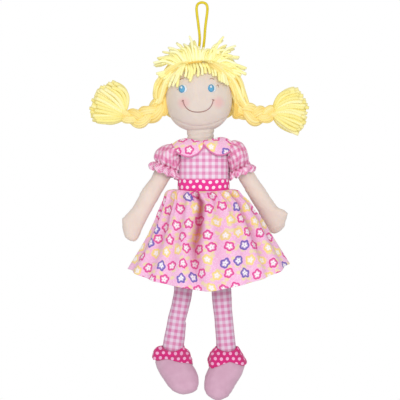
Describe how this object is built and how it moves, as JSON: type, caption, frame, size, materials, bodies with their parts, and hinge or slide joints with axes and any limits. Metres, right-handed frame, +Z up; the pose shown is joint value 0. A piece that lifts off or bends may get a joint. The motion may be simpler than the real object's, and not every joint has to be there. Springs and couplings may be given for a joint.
{
  "type": "rag doll",
  "caption": "Stuffed cloth doll with yarn plaits, gathered dress and ankle ruffles, hanging from a cord loop; limbs, neck and plaits move",
  "frame": {"origin": "top of the inside of the hanging loop, where a hook carries the doll", "axes": "+Z up, face towards -Y, the doll's own left is +X"},
  "size_m": [0.2182, 0.0815, 0.3965],
  "materials": {
    "skin_cloth": "fine brushed cotton, blushed at the cheeks",
    "stuffing": "loose polyester fibre",
    "hair_yarn": "soft plied yarn",
    "loop_cord": "braided cord",
    "pink_gingham": "eighth-inch gingham, plain weave",
    "leg_gingham": "eighth-inch gingham, plain weave",
    "flower_print": "printed plain weave",
    "sash_dots": "plain weave with white dots",
    "ruffle_dots": "plain weave with pale dots",
    "foot_cloth": "brushed cotton",
    "elastic": "shirring elastic",
    "eye_thread": "satin stitch",
    "brow_thread": "satin stitch",
    "mouth_thread": "back stitch"
  },
  "bodies": {
    "head": {"hanging_loop": "loop_cord", "head_cover": "skin_cloth", "head_stuffing": "stuffing", "hair_cap": "hair_yarn", "top_tuft": "hair_yarn", "fringe": "hair_yarn", "right_side_hair": "hair_yarn", "left_side_hair": "hair_yarn", "right_eye": "eye_thread", "left_eye": "eye_thread", "right_brow": "brow_thread", "left_brow": "brow_thread", "mouth": "mouth_thread"},
    "neck": {"neck_cover": "skin_cloth", "neck_stuffing": "stuffing"},
    "torso": {"torso_cover": "skin_cloth", "torso_stuffing": "stuffing", "bodice": "pink_gingham", "sash": "sash_dots", "right_collar": "flower_print", "left_collar": "flower_print", "skirt": "flower_print"},
    "right_shoulder": {"right_shoulder_gather": "skin_cloth"},
    "right_arm": {"right_arm_cover": "skin_cloth", "right_arm_stuffing": "stuffing", "right_sleeve": "pink_gingham", "right_sleeve_elastic": "elastic"},
    "right_hip": {"right_hip_gather": "skin_cloth"},
    "right_leg": {"right_leg_cover": "leg_gingham", "right_leg_stuffing": "stuffing", "right_ankle_ruffle": "ruffle_dots"},
    "right_foot": {"right_foot_cover": "foot_cloth", "right_foot_stuffing": "stuffing"},
    "right_plait": {"right_plait": "hair_yarn", "right_plait_tie": "hair_yarn", "right_plait_tail": "hair_yarn"},
    "left_shoulder": {"left_shoulder_gather": "skin_cloth"},
    "left_arm": {"left_arm_cover": "skin_cloth", "left_arm_stuffing": "stuffing", "left_sleeve": "pink_gingham", "left_sleeve_elastic": "elastic"},
    "left_hip": {"left_hip_gather": "skin_cloth"},
    "left_leg": {"left_leg_cover": "leg_gingham", "left_leg_stuffing": "stuffing", "left_ankle_ruffle": "ruffle_dots"},
    "left_foot": {"left_foot_cover": "foot_cloth", "left_foot_stuffing": "stuffing"},
    "left_plait": {"left_plait": "hair_yarn", "left_plait_tie": "hair_yarn", "left_plait_tail": "hair_yarn"}
  },
  "joints": [
    {"name": "neck_turn", "type": "hinge", "parent": "head", "child": "neck", "pos_m": [-0.0015, 0, -0.128], "axis": [0, 0, 1], "range_deg": [-60, 60]},
    {"name": "neck_nod", "type": "hinge", "parent": "neck", "child": "torso", "pos_m": [-0.0015, 0, -0.139], "axis": [1, 0, 0], "range_deg": [-20, 25]},
    {"name": "right_arm_swing", "type": "hinge", "parent": "torso", "child": "right_shoulder", "pos_m": [-0.0271, 0, -0.146], "axis": [-1, 0, 0], "range_deg": [-40, 90], "deforming": ["right_sleeve"]},
    {"name": "right_arm_raise", "type": "hinge", "parent": "right_shoulder", "child": "right_arm", "pos_m": [-0.0271, 0, -0.146], "axis": [0, 1, 0], "range_deg": [-6, 65], "deforming": ["right_sleeve"]},
    {"name": "right_hip_swing", "type": "hinge", "parent": "torso", "child": "right_hip", "pos_m": [-0.0097, 0, -0.2171], "axis": [-1, 0, 0], "range_deg": [-30, 90], "deforming": ["skirt"]},
    {"name": "right_hip_spread", "type": "hinge", "parent": "right_hip", "child": "right_leg", "pos_m": [-0.0097, 0, -0.2171], "axis": [0, 1, 0], "range_deg": [0, 22], "deforming": ["skirt"]},
    {"name": "right_ankle", "type": "hinge", "parent": "right_leg", "child": "right_foot", "pos_m": [-0.02869, 0, -0.3457], "axis": [-1, 0, 0], "range_deg": [-15, 40], "deforming": ["right_ankle_ruffle"]},
    {"name": "right_plait_swing", "type": "hinge", "parent": "head", "child": "right_plait", "pos_m": [-0.0461, 0, -0.1016], "axis": [0, 1, 0], "range_deg": [-30, 40]},
    {"name": "left_arm_swing", "type": "hinge", "parent": "torso", "child": "left_shoulder", "pos_m": [0.0303, 0, -0.146], "axis": [-1, 0, 0], "range_deg": [-40, 90], "deforming": ["left_sleeve"]},
    {"name": "left_arm_raise", "type": "hinge", "parent": "left_shoulder", "child": "left_arm", "pos_m": [0.0303, 0, -0.146], "axis": [0, -1, 0], "range_deg": [-6, 65], "deforming": ["left_sleeve"]},
    {"name": "left_hip_swing", "type": "hinge", "parent": "torso", "child": "left_hip", "pos_m": [0.0129, 0, -0.2171], "axis": [-1, 0, 0], "range_deg": [-30, 90], "deforming": ["skirt"]},
    {"name": "left_hip_spread", "type": "hinge", "parent": "left_hip", "child": "left_leg", "pos_m": [0.0129, 0, -0.2171], "axis": [0, -1, 0], "range_deg": [0, 22], "deforming": ["skirt"]},
    {"name": "left_ankle", "type": "hinge", "parent": "left_leg", "child": "left_foot", "pos_m": [0.02423, 0, -0.3466], "axis": [-1, 0, 0], "range_deg": [-15, 40], "deforming": ["left_ankle_ruffle"]},
    {"name": "left_plait_swing", "type": "hinge", "parent": "head", "child": "left_plait", "pos_m": [0.0399, 0, -0.1016], "axis": [0, -1, 0], "range_deg": [-30, 40]}
  ]
}
